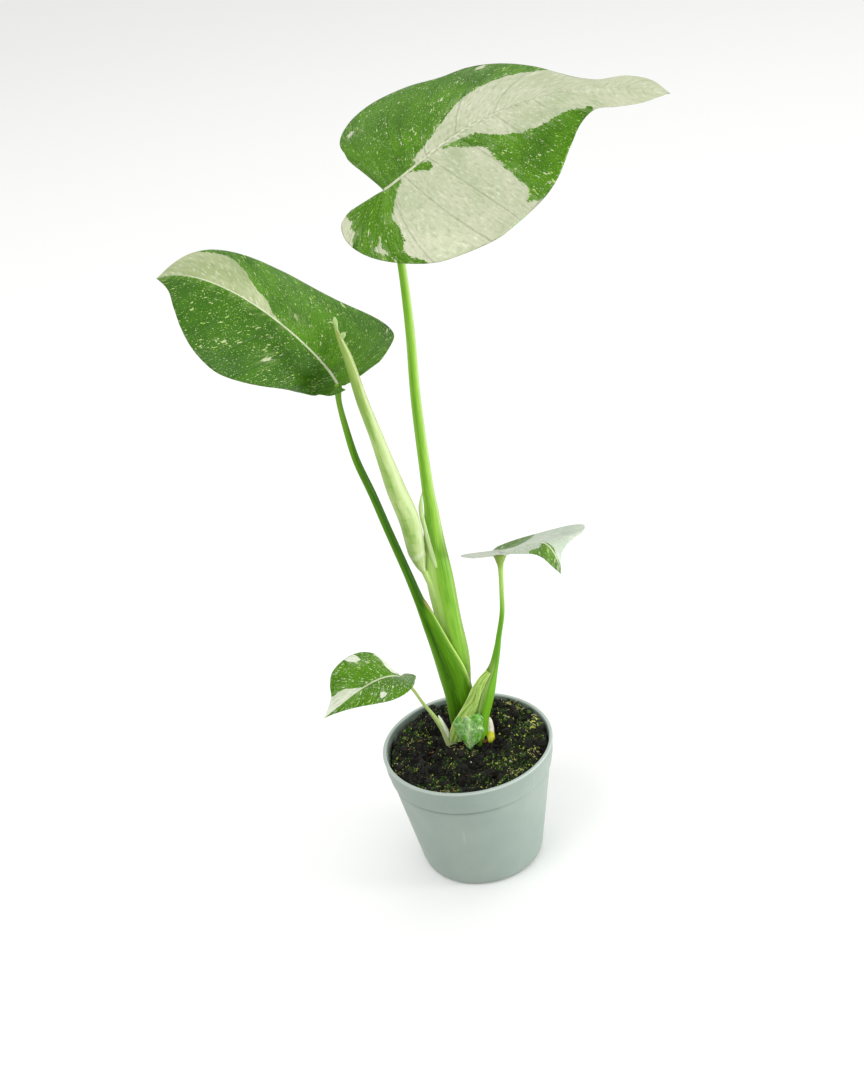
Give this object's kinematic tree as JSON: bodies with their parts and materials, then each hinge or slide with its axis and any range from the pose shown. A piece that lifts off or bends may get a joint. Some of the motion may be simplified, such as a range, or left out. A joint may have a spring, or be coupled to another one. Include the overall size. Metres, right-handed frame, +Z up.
{
  "type": "potted monstera plant",
  "caption": "Young variegated monstera in a round nursery pot, with heart-shaped leaves split cream and green and a new leaf still rolled into a spear.",
  "frame": {"origin": "centre of the pot's underside, where its axis meets the surface it stands on", "axes": "+Z up along the pot's axis, -Y towards the side that the picture shows, +X to that side's right"},
  "size_m": [0.1564, 0.0779, 0.2658],
  "materials": {
    "pot_plastic": "grey-green moulded plastic, satin",
    "peat_mix": "dark peat with moss flecks, bark fibres and perlite",
    "crown_skin": "dull green stem",
    "root_skin": "pale root skin",
    "leaf_blade": "satin leaf, green with cream sectors and flecks",
    "petiole": "smooth green petiole, satin",
    "new_leaf": "pale cream-green rolled leaf"
  },
  "bodies": {
    "root": {"pot": "pot_plastic", "soil": "peat_mix", "stem_base": "crown_skin", "root_1": "root_skin", "root_2": "root_skin", "root_3": "root_skin", "root_4": "root_skin", "root_5": "root_skin", "aerial_root": "root_skin", "basal_scale": "leaf_blade", "tall_leaf_petiole": "petiole", "left_leaf_petiole": "petiole", "right_leaf_petiole": "petiole", "low_leaf_petiole": "petiole", "new_leaf_petiole": "petiole", "new_leaf_blade": "new_leaf", "tall_leaf_blade": "leaf_blade", "left_leaf_blade": "leaf_blade", "right_leaf_blade": "leaf_blade", "low_leaf_blade": "leaf_blade"}
  },
  "joints": []
}
